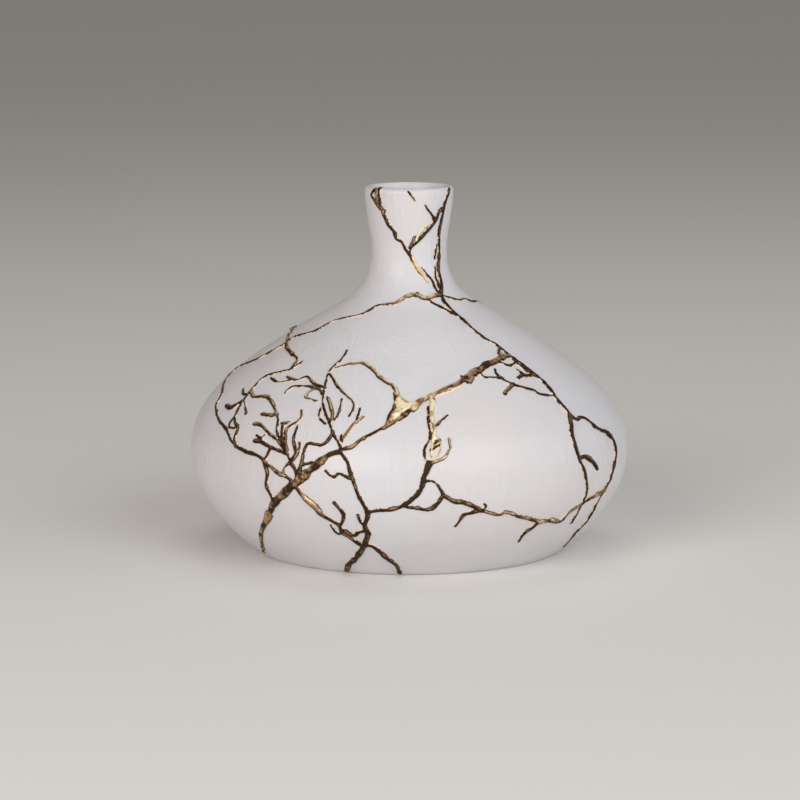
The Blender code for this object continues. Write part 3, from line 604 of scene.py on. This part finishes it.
@dataclass
class GoldNetwork:
    """The raised gold lacquer over the old breaks, as one open sheet whose edges end in the porcelain."""

    vessel: Vessel
    dab_step: float = 0.00025
    stretch_points: int = 24
    low_relief: float = 0.00030
    relief_share: float = 0.24
    top_relief: float = 0.00125
    wander: tuple[Pair, ...] = ((0.0060, 0.00030), (0.0017, 0.00010))
    wander_layer: float = 0.5
    climb_layer: float = 40.0
    swell: Pair = (0.0032, 0.34)
    swell_layer: float = 80.5
    film: float = 0.0003
    lumps: Pair = (0.0016, 0.30)
    ragged: Pair = (0.0012, 0.26)
    ragged_cover: float = -0.5
    sink: float = 0.00010
    cut_margin: float = 0.12
    # Painted shade: how much a flank facing left and one facing down count, as if lit from the upper right
    painted_shade_weights: Pair = (0.50, 0.85)

    def line(self, stations: list[Place]) -> tuple[np.ndarray, np.ndarray, np.ndarray]:
        """Draws a smooth line through stations.

        Args:
            stations: Places in degrees and percent.

        Returns:
            The line's degrees, its lengths up the vessel's skin and its running distances.
        """
        skin = self.vessel.skin
        rim = self.vessel.height - self.vessel.lip_wall / 2
        side = slice(1, len(self.vessel.outer.points) + 1)
        rim_length = float(skin.lengths[side][-1])
        knots = []
        for degrees, percent in stations:
            height = percent / 100 * self.vessel.height
            length = float(np.interp(min(height, rim), skin.points[side, 1], skin.lengths[side]))
            if height > rim:
                length = rim_length + height - rim
            turned = degrees if not knots else degrees - 360 * round((degrees - knots[-1][0]) / 360)
            knots.append(np.array([turned, length]))
        knots = [2 * knots[0] - knots[1], *knots, 2 * knots[-1] - knots[-2]]
        shares = np.linspace(0.0, 1.0, self.stretch_points, endpoint=False)[:, None]
        parts = []
        for before, start, end, after in zip(knots, knots[1:], knots[2:], knots[3:]):
            parts.append(0.5 * (2 * start + (end - before) * shares
                                + (2 * before - 5 * start + 4 * end - after) * shares**2
                                + (3 * start - before - 3 * end + after) * shares**3))
        places = np.vstack([*parts, [knots[-2]]])
        radii = skin.at(places[:, 1])[0][:, 0]
        across = np.diff(np.radians(places[:, 0])) * (radii[1:] + radii[:-1]) / 2
        distances = np.concatenate([[0.0], np.cumsum(np.hypot(across, np.diff(places[:, 1])))])
        return places[:, 0], places[:, 1], distances

    def lay_seam(self, grid: SkinGrid, number: int, seam: Seam) -> None:
        """Lays one seam's dabs on the grid.

        Args:
            grid: The grid to lay them on.
            number: The seam's number, which sets how it wanders.
            seam: The seam.
        """
        degrees, lengths, distances = self.line(seam.stations)
        total = float(distances[-1])
        widths = [width.value for width in (seam.start, seam.middle, seam.end)]
        for distance in np.linspace(0.0, total, max(2, round(total / self.dab_step))):
            turn = float(np.interp(distance, distances, degrees))
            length = float(np.interp(distance, distances, lengths))
            radius = float(grid.skin.at(np.array([length]))[0][0, 0])
            for index, (wave, reach) in enumerate(self.wander):
                spot = Vector((distance / wave, number + 0.5, index + self.wander_layer))
                turn += math.degrees(reach * noise.noise(spot) / radius)
                length += reach * noise.noise(spot + Vector((0.0, 0.0, self.climb_layer)))
            width = float(np.interp(distance / total, (0.0, 0.5, 1.0), widths))
            swell = noise.noise(Vector((distance / self.swell[0], number + 0.5, self.swell_layer)))
            width = width * (1.0 + self.swell[1] * swell) + self.film
            relief = min(self.low_relief + self.relief_share * width, self.top_relief)
            grid.lay(turn / 360 * grid.columns, length / grid.row_step, width / 2, relief,
                     seam.sheen.value)

    def roughen(self, grid: SkinGrid) -> None:
        """Softens the joins of the dabs, and makes the edges ragged and the crests lumpy."""
        for field_name in ("cover", "height", "sheen"):
            values = getattr(grid, field_name)
            values = (2 * values + np.roll(values, 1, axis=1) + np.roll(values, -1, axis=1)) / 4
            values[1:-1] = (2 * values[1:-1] + values[2:] + values[:-2]) / 4
            setattr(grid, field_name, values)
        for row, column in zip(*np.nonzero(grid.cover > self.ragged_cover)):
            spot = Vector(grid.points[row, column])
            grid.cover[row, column] += self.ragged[1] * noise.noise(spot / self.ragged[0])
            grid.height[row, column] *= 1.0 + self.lumps[1] * noise.noise(spot / self.lumps[0])

    def relief_mesh(self, grid: SkinGrid) -> tuple[np.ndarray, np.ndarray, np.ndarray]:
        """Cuts the covered part out of the grid and raises it; its edges end under the porcelain.

        Args:
            grid: The grid with the laid gold.

        Returns:
            The points, the triangles, and each point's rise, sheen and painted shade.
        """
        cover = grid.cover.ravel()
        points, normals = grid.points.reshape(-1, 3), grid.normals.reshape(-1, 3)
        inside = cover > 0
        triangles = grid.triangles()
        held = inside[triangles].sum(axis=1)
        whole, cut = triangles[held == 3], triangles[(held == 1) | (held == 2)]
        states = inside[cut]
        odd = np.where(states.sum(axis=1) == 1, states.argmax(axis=1), (~states).argmax(axis=1))
        cut = np.take_along_axis(cut, (odd[:, None] + np.arange(3)) % 3, axis=1)

        kept = np.unique(np.concatenate([whole.ravel(), cut.ravel()[inside[cut.ravel()]]]))
        number = np.full(len(cover), -1)
        number[kept] = np.arange(len(kept))
        ends = np.sort(np.concatenate([cut[:, (0, 1)], cut[:, (0, 2)]]), axis=1)
        edges, edge_of = np.unique(ends, axis=0, return_inverse=True)
        edge_of = edge_of.ravel() + len(kept)
        first, second = edge_of[:len(cut)], edge_of[len(cut):]
        one = inside[cut[:, 0]]
        a, b, c = (number[cut[:, corner]] for corner in range(3))
        top = np.vstack([number[whole], np.stack([a, first, second], axis=1)[one],
                         np.stack([first, b, c], axis=1)[~one],
                         np.stack([first, c, second], axis=1)[~one]])

        share = cover[edges[:, 0]] / (cover[edges[:, 0]] - cover[edges[:, 1]])
        share = np.clip(share, self.cut_margin, 1.0 - self.cut_margin)[:, None]
        rim = points[edges[:, 0]] * (1 - share) + points[edges[:, 1]] * share
        rim_normals = normals[edges[:, 0]] * (1 - share) + normals[edges[:, 1]] * share
        crest = points[kept] + normals[kept] * grid.height.ravel()[kept, None]
        places = np.vstack([crest, rim - rim_normals * self.sink])
        sheen, painted_shade = grid.sheen.ravel(), self.painted_shade(grid).ravel()
        looks = np.stack([np.clip(cover, 0.0, 1.0), sheen, painted_shade], axis=1)
        return places, top, np.vstack([looks[kept], looks[edges].mean(axis=1)])

    def painted_shade(self, grid: SkinGrid) -> np.ndarray:
        """Returns painted shade: how far each spot's flank faces down and to the left, from -1 to 1, as if
        lit from the upper right.
        """
        up = np.gradient(grid.height, grid.row_step, axis=0)
        column_steps = grid.radii[:, None] * 2 * math.pi / grid.columns
        right = (np.roll(grid.height, -1, axis=1) - np.roll(grid.height, 1, axis=1)) / (2 * column_steps)
        return np.clip(self.painted_shade_weights[0] * right + self.painted_shade_weights[1] * up, -1.0, 1.0)

    def build(self) -> bpy.types.Object:
        """Lays every seam and raises them.

        Returns:
            The gold relief, which stands for the solid of the same seams.
        """
        grid = SkinGrid(self.vessel.skin)
        for number, seam in enumerate(SEAMS.values()):
            self.lay_seam(grid, number, seam)
        self.roughen(grid)
        points, faces, looks = self.relief_mesh(grid)
        piece = mesh_piece("gold_network", points, faces)
        # The painted shade goes on as a point attribute beside rise and sheen
        for index, name in enumerate(("rise", "sheen", "painted_shade")):
            attribute = piece.data.attributes.new(name, "FLOAT", "POINT")
            attribute.data.foreach_set("value", looks[:, index].astype(np.float32))
        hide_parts("gold_seams")
        return piece

    def dress(self, piece: bpy.types.Object, finish: "GoldLacquer") -> None:
        """Gives the gold its finish."""
        piece.data.materials.append(finish.material())


class NodeTree:
    """Short calls for making and joining shader nodes."""

    def __init__(self, tree: bpy.types.NodeTree) -> None:
        """Keeps the tree."""
        self.tree = tree

    def add(self, kind: str, inputs: dict[str | int, object] | None = None,
            settings: dict[str, object] | None = None) -> bpy.types.Node:
        """Adds a node.

        Args:
            kind: The node's type.
            inputs: Input names or numbers, each with a plain value or a socket to join.
            settings: The node's own settings.

        Returns:
            The new node.
        """
        node = self.tree.nodes.new(kind)
        for name, value in (settings or {}).items():
            setattr(node, name, value)
        self.give(node, inputs or {})
        return node

    def give(self, node: bpy.types.Node, inputs: dict[str | int, object]) -> None:
        """Joins sockets to a node's inputs and sets plain values, a colour as opaque."""
        for name, value in inputs.items():
            if isinstance(value, bpy.types.NodeSocket):
                self.tree.links.new(value, node.inputs[name])
            else:
                node.inputs[name].default_value = (*value, 1.0) if isinstance(value, tuple) else value

    def group(self, group: bpy.types.NodeTree, inputs: dict[str, object]) -> bpy.types.Node:
        """Adds a shader node group with its own values."""
        return self.add("ShaderNodeGroup", inputs, {"node_tree": group})

    def mix(self, share: object, first: object, second: object) -> bpy.types.NodeSocket:
        """Mixes two colours and returns the mixed one."""
        return self.add("ShaderNodeMix", {0: share, 6: first, 7: second}, {"data_type": "RGBA"}).outputs[2]

    def ramp(self, value: bpy.types.NodeSocket, levels: Pair, results: Pair = WHOLE) -> bpy.types.NodeSocket:
        """Maps a value smoothly from two levels to two results."""
        return self.add("ShaderNodeMapRange", {
            "Value": value, "From Min": levels[0], "From Max": levels[1], "To Min": results[0],
            "To Max": results[1]}, {"interpolation_type": "SMOOTHSTEP"}).outputs["Result"]

    def maths(self, operation: str, first: object, second: object) -> bpy.types.NodeSocket:
        """Returns the result of one sum."""
        return self.add("ShaderNodeMath", {0: first, 1: second}, {"operation": operation}).outputs[0]


def make_group(name: str, numbers: tuple[str, ...], output: str) -> tuple[
        bpy.types.NodeTree, NodeTree, bpy.types.Node, bpy.types.Node]:
    """Starts a shader node group.

    Args:
        name: Name of the group.
        numbers: Names of the numbers that it takes beside the place.
        output: Name of the one value that it puts out.

    Returns:
        The group, the calls for its nodes, its input node and its output node.
    """
    group = bpy.data.node_groups.new(name, "ShaderNodeTree")
    group.interface.new_socket("Place", in_out="INPUT", socket_type="NodeSocketVector")
    for number in numbers:
        group.interface.new_socket(number, in_out="INPUT", socket_type="NodeSocketFloat")
    group.interface.new_socket(output, in_out="OUTPUT", socket_type="NodeSocketFloat")
    nodes = NodeTree(group)
    return group, nodes, nodes.add("NodeGroupInput"), nodes.add("NodeGroupOutput")


@dataclass
class Effects:
    """Shader node groups that more than one finish uses."""

    cloud_roughness: float = 0.55
    bend_waves: float = 60.0
    bend_reach: float = 0.0016
    stroke_detail: float = 2.5
    stroke_roughness: float = 0.6

    def __post_init__(self) -> None:
        """Builds each group once."""
        self.mottle = self.build_mottle()
        self.brush_marks = self.build_brush_marks()

    def build_mottle(self) -> bpy.types.NodeTree:
        """Returns the group of soft clouds, as a mask from 0 to 1."""
        group, nodes, given, made = make_group(
            "Mottle", ("Clouds per metre", "Detail", "Low", "High"), "Mask")
        clouds = nodes.add("ShaderNodeTexNoise", {
            "Vector": given.outputs["Place"], "Scale": given.outputs["Clouds per metre"],
            "Detail": given.outputs["Detail"], "Roughness": self.cloud_roughness})
        mask = nodes.add("ShaderNodeMapRange", {
            "Value": clouds.outputs["Fac"], "From Min": given.outputs["Low"],
            "From Max": given.outputs["High"]}, {"interpolation_type": "SMOOTHSTEP"})
        group.links.new(mask.outputs["Result"], made.inputs["Mask"])
        return group

    def build_brush_marks(self) -> bpy.types.NodeTree:
        """Returns the group of fine strokes drawn out along Z, as a height from 0 to 1."""
        group, nodes, given, made = make_group(
            "Brush marks", ("Strokes per metre", "Draw out"), "Height")
        across = nodes.add("ShaderNodeCombineXYZ", {0: 1.0, 1: 1.0, 2: given.outputs["Draw out"]})
        drawn = nodes.add("ShaderNodeVectorMath", {0: given.outputs["Place"], 1: across.outputs[0]},
                          {"operation": "MULTIPLY"})
        bent = nodes.add("ShaderNodeTexNoise", {
            "Vector": given.outputs["Place"], "Scale": self.bend_waves, "Detail": 1.0})
        turned = nodes.add("ShaderNodeVectorMath", {
            0: bent.outputs["Color"], "Scale": self.bend_reach}, {"operation": "SCALE"})
        moved = nodes.add("ShaderNodeVectorMath", {0: drawn.outputs[0], 1: turned.outputs[0]},
                          {"operation": "ADD"})
        strokes = nodes.add("ShaderNodeTexNoise", {
            "Vector": moved.outputs[0], "Scale": given.outputs["Strokes per metre"],
            "Detail": self.stroke_detail, "Roughness": self.stroke_roughness})
        group.links.new(strokes.outputs["Fac"], made.inputs["Height"])
        return group


@dataclass(frozen=True)
class Clouds:
    """One setting of the mottle: its clouds per metre, its detail and its two noise levels."""

    per_metre: float
    detail: float
    low: float
    high: float

    def mask(self, nodes: NodeTree, effects: Effects, place: bpy.types.NodeSocket) -> bpy.types.NodeSocket:
        """Adds the mottle with this setting and returns its mask."""
        return nodes.group(effects.mottle, {
            "Place": place, "Clouds per metre": self.per_metre, "Detail": self.detail, "Low": self.low,
            "High": self.high}).outputs["Mask"]


@dataclass(frozen=True)
class Strokes:
    """One setting of the brush marks: how many per metre and how far they are drawn out."""

    per_metre: float
    draw_out: float

    def height(self, nodes: NodeTree, effects: Effects, place: bpy.types.NodeSocket) -> bpy.types.NodeSocket:
        """Adds the brush marks with this setting and returns their height."""
        return nodes.group(effects.brush_marks, {
            "Place": place, "Strokes per metre": self.per_metre,
            "Draw out": self.draw_out}).outputs["Height"]


def principled(name: str) -> tuple[bpy.types.Material, NodeTree, bpy.types.Node, bpy.types.NodeSocket]:
    """Starts a material.

    Args:
        name: Name of the material.

    Returns:
        The material, the calls for its nodes, its shader and its object coordinates.
    """
    material = bpy.data.materials.new(name)
    material.use_nodes = True
    nodes = NodeTree(material.node_tree)
    place = nodes.add("ShaderNodeTexCoord").outputs["Object"]
    return material, nodes, material.node_tree.nodes["Principled BSDF"], place


@dataclass(frozen=True)
class SatinPorcelain:
    """Satin white porcelain with faint brush marks and soft pinkish and lavender clouds."""

    effects: Effects
    white: Colour = (0.69, 0.675, 0.70)
    rosy: Colour = (0.70, 0.635, 0.62)
    grey: Colour = (0.64, 0.63, 0.655)
    rosy_clouds: Clouds = Clouds(14.0, 3.0, 0.42, 0.66)
    grey_clouds: Clouds = Clouds(38.0, 4.0, 0.48, 0.72)
    worn_clouds: Clouds = Clouds(22.0, 2.0, 0.40, 0.62)
    rosy_share: float = 0.55
    grey_share: float = 0.5
    roughness: Pair = (0.34, 0.46)
    specular: float = 0.36
    marks: Strokes = Strokes(620.0, 0.085)
    mark_shares: Pair = (0.25, 1.0)
    mark_depth: float = 0.00042
    cloud_depth: float = 0.00035
    cloud_strength: float = 0.6

    def material(self) -> bpy.types.Material:
        """Returns the finish as a material."""
        material, nodes, shader, place = principled("satin porcelain")
        rosy, grey, worn = (clouds.mask(nodes, self.effects, place) for clouds in (
            self.rosy_clouds, self.grey_clouds, self.worn_clouds))
        colour = nodes.mix(nodes.maths("MULTIPLY", rosy, self.rosy_share), self.white, self.rosy)
        colour = nodes.mix(nodes.maths("MULTIPLY", grey, self.grey_share), colour, self.grey)
        stroke = nodes.maths("MULTIPLY", self.marks.height(nodes, self.effects, place),
                             nodes.ramp(worn, WHOLE, self.mark_shares))
        fine = nodes.add("ShaderNodeBump", {"Height": stroke, "Distance": self.mark_depth, "Strength": 1.0})
        broad = nodes.add("ShaderNodeBump", {
            "Height": rosy, "Distance": self.cloud_depth, "Strength": self.cloud_strength,
            "Normal": fine.outputs["Normal"]})
        nodes.give(shader, {
            "Base Color": colour, "Roughness": nodes.ramp(grey, WHOLE, self.roughness),
            "Specular IOR Level": self.specular, "Normal": broad.outputs["Normal"]})
        return material


@dataclass(frozen=True)
class GoldLacquer:
    """Brownish gold lacquer with painted shade in umber on flanks facing down and left and along its edges,
    which are partly a dark outline, and pale crests that are partly polish and partly painted highlight.
    """

    effects: Effects
    # Umber of the painted shade, of the partly real dark outline along the edges and of the darker grain
    shade_umber: Colour = (0.012, 0.005, 0.002)
    # Crest tones from dark to cream, chosen by sheen: partly the gold's own, partly painted shade and painted
    # highlight
    dark: Colour = (0.040, 0.018, 0.007)
    dull: Colour = (0.29, 0.165, 0.075)
    soft: Colour = (0.64, 0.43, 0.24)
    cream: Colour = (0.95, 0.82, 0.56)
    film: Colour = (0.78, 0.60, 0.43)
    patches: Clouds = Clouds(200.0, 4.0, 0.36, 0.64)
    grain: Clouds = Clouds(1500.0, 2.0, 0.25, 0.75)
    patch_tones: Pair = (-0.38, 0.16)
    # Painted shade on flanks facing down and left: how far it lowers the tone and darkens towards umber
    painted_shade_tone: float = -0.45
    tone_steps: tuple[float, ...] = (0.0, 0.33, 0.66, 0.95)
    painted_shade_levels: Pair = (0.05, 0.65)
    painted_shade_amounts: Pair = (0.0, 0.75)
    # Darkening at the seams' low edges: partly painted shade, partly a dark outline
    shaded_rise: Pair = (0.65, 0.15)
    grain_shade: Pair = (-0.2, 0.2)
    bright_sheen: Pair = (0.5, 1.0)
    bright_shade: Pair = (1.0, 0.25)
    film_spread: Pair = (-0.12, 0.12)
    film_rise: Pair = (0.26, 0.10)
    cream_sheen: Pair = (0.7, 1.0)
    rough_tones: Pair = (0.0, 0.8)
    roughness: Pair = (0.55, 0.30)
    metal_tones: Pair = (0.3, 0.9)
    metallic: Pair = (0.60, 0.25)
    strokes: Strokes = Strokes(2200.0, 0.6)
    stroke_depth: float = 0.00014
    stroke_strength: float = 0.7

    def material(self) -> bpy.types.Material:
        """Returns the finish as a material."""
        material, nodes, shader, place = principled("gold lacquer")
        rise, sheen, painted_shade = (nodes.add("ShaderNodeAttribute", settings={"attribute_name": name}).outputs["Fac"]
                            for name in ("rise", "sheen", "painted_shade"))
        patches, grain = (clouds.mask(nodes, self.effects, place) for clouds in (self.patches, self.grain))
        tone = nodes.maths("ADD", sheen, nodes.ramp(patches, WHOLE, self.patch_tones))
        # Painted shade: flanks facing down and left get a lower, darker tone
        tone = nodes.maths("ADD", tone, nodes.maths("MULTIPLY", painted_shade, self.painted_shade_tone))
        colour = self.dark
        for low, high, paler in zip(self.tone_steps, self.tone_steps[1:], (self.dull, self.soft, self.cream)):
            colour = nodes.mix(nodes.ramp(tone, (low, high)), colour, paler)
        # Painted shade towards umber on flanks facing down and left and at the low edges, with random grain
        painted_shade_and_grain = nodes.maths("ADD", nodes.ramp(painted_shade, self.painted_shade_levels, self.painted_shade_amounts),
                            nodes.ramp(rise, self.shaded_rise))
        painted_shade_and_grain = nodes.maths("ADD", painted_shade_and_grain, nodes.ramp(grain, WHOLE, self.grain_shade))
        pale = nodes.ramp(sheen, self.bright_sheen, self.bright_shade)
        colour = nodes.mix(nodes.maths("MULTIPLY", nodes.ramp(painted_shade_and_grain, WHOLE), pale), colour, self.shade_umber)
        edge = nodes.maths("ADD", rise, nodes.ramp(patches, WHOLE, self.film_spread))
        thin = nodes.ramp(edge, self.film_rise)
        film = nodes.mix(nodes.ramp(sheen, self.cream_sheen), self.film, self.cream)
        # The metal follows the paler of the film and the tone, which holds painted highlight and painted
        # shade
        tone_with_film = nodes.maths("MAXIMUM", tone, thin)
        bump = nodes.add("ShaderNodeBump", {
            "Height": self.strokes.height(nodes, self.effects, place), "Distance": self.stroke_depth,
            "Strength": self.stroke_strength})
        nodes.give(shader, {
            "Base Color": nodes.mix(thin, colour, film),
            "Roughness": nodes.ramp(tone, self.rough_tones, self.roughness),
            "Metallic": nodes.ramp(tone_with_film, self.metal_tones, self.metallic),
            "Normal": bump.outputs["Normal"]})
        return material


@dataclass(frozen=True)
class SoftLight:
    """One soft light of the studio."""

    name: str
    place: tuple[float, float, float]
    size: float
    power: float
    colour: Colour

    def build(self, target: Vector) -> None:
        """Hangs the light and turns it to the target."""
        light = bpy.data.lights.new(self.name, "AREA")
        light.shape = "DISK"
        light.size = self.size
        light.energy = self.power
        light.color = self.colour
        holder = bpy.data.objects.new(self.name, light)
        holder.location = self.place
        holder.rotation_euler = (target - holder.location).to_track_quat("-Z", "Y").to_euler()
        holder.visible_camera = False
        bpy.context.scene.collection.objects.link(holder)


@dataclass
class Studio:
    """The plain pale floor, the soft lights and the camera."""

    floor_radius: float = 9.0
    floor_sides: int = 64
    floor_colour: Colour = (0.86, 0.84, 0.81)
    floor_roughness: float = 0.8
    world_colour: Colour = (0.84, 0.80, 0.76)
    world_strengths: Pair = (0.14, 0.34)
    world_span: Pair = (-0.9, 0.2)
    target: tuple[float, float, float] = (0.0, 0.0, 0.07)
    camera_distance: float = 1.419
    camera_height: float = 0.290
    pitch: float = 8.94
    focal_pixels: float = 3125.0
    image_pixels: float = 800.0
    sensor: float = 36.0
    axis_offset_pixels: float = 9.0
    lights: tuple[SoftLight, ...] = (
        SoftLight("key", (1.10, -1.62, 0.90), 1.6, 16.8, (0.89, 0.955, 1.0)),
        SoftLight("left fill", (-1.00, -1.65, 0.74), 1.3, 21.0, (1.0, 0.95, 0.91)),
        SoftLight("right fill", (1.90, -0.45, 0.70), 1.4, 6.0, (0.97, 0.98, 1.0)),
        SoftLight("top", (0.0, 0.5, 1.9), 1.3, 4.0, (1.0, 0.98, 0.95)),
    )

    def build(self) -> None:
        """Sets the floor, the lights, the surrounding light and the camera."""
        self.build_floor()
        for light in self.lights:
            light.build(Vector(self.target))
        world = bpy.data.worlds.new("studio")
        world.use_nodes = True
        background = world.node_tree.nodes["Background"]
        nodes = NodeTree(world.node_tree)
        across = nodes.add("ShaderNodeSeparateXYZ", {0: nodes.add("ShaderNodeTexCoord").outputs["Generated"]})
        strength = nodes.ramp(across.outputs["X"], self.world_span, self.world_strengths)
        nodes.give(background, {"Color": self.world_colour, "Strength": strength})
        bpy.context.scene.world = world
        bpy.context.scene.view_settings.view_transform = "Standard"
        self.build_camera()

    def build_floor(self) -> None:
        """Lays the plain pale floor, which is no part of the vase."""
        angles = np.arange(self.floor_sides) * (2 * math.pi / self.floor_sides)
        ring = self.floor_radius * np.stack([np.cos(angles), np.sin(angles), 0 * angles], axis=1)
        mesh = bpy.data.meshes.new("floor")
        mesh.from_pydata(ring.tolist(), [], [list(range(self.floor_sides))])
        floor = bpy.data.objects.new("floor", mesh)
        bpy.context.scene.collection.objects.link(floor)
        material = bpy.data.materials.new("pale floor")
        material.use_nodes = True
        shader = material.node_tree.nodes["Principled BSDF"]
        shader.inputs["Base Color"].default_value = (*self.floor_colour, 1.0)
        shader.inputs["Roughness"].default_value = self.floor_roughness
        mesh.materials.append(material)

    def build_camera(self) -> None:
        """Sets the camera at the photograph's viewing angle."""
        data = bpy.data.cameras.new("camera")
        data.sensor_width = self.sensor
        data.lens = self.focal_pixels / self.image_pixels * self.sensor
        data.shift_x = -self.axis_offset_pixels / self.image_pixels
        data.dof.use_dof = False
        camera = bpy.data.objects.new("camera", data)
        camera.location = (0.0, -self.camera_distance, self.camera_height)
        camera.rotation_euler = (math.radians(90.0 - self.pitch), 0.0, 0.0)
        bpy.context.scene.collection.objects.link(camera)
        bpy.context.scene.camera = camera


def report(piece: bpy.types.Object) -> None:
    """Logs a piece's name and size."""
    size = ", ".join(f"{1000 * side:.1f}" for side in piece.dimensions)
    triangles = sum(len(face.vertices) - 2 for face in piece.data.polygons)
    log.info("%s: %s mm, %d triangles", piece.name, size, triangles)


def main() -> None:
    """Builds the vessel, the gold and the studio."""
    logging.basicConfig(level=logging.INFO, format="%(message)s")
    effects = Effects()
    vessel = Vessel()
    body = vessel.build()
    vessel.dress(body, SatinPorcelain(effects))
    report(body)
    network = GoldNetwork(vessel)
    gold = network.build()
    network.dress(gold, GoldLacquer(effects))
    report(gold)
    Studio().build()


if __name__ == "__main__":
    main()
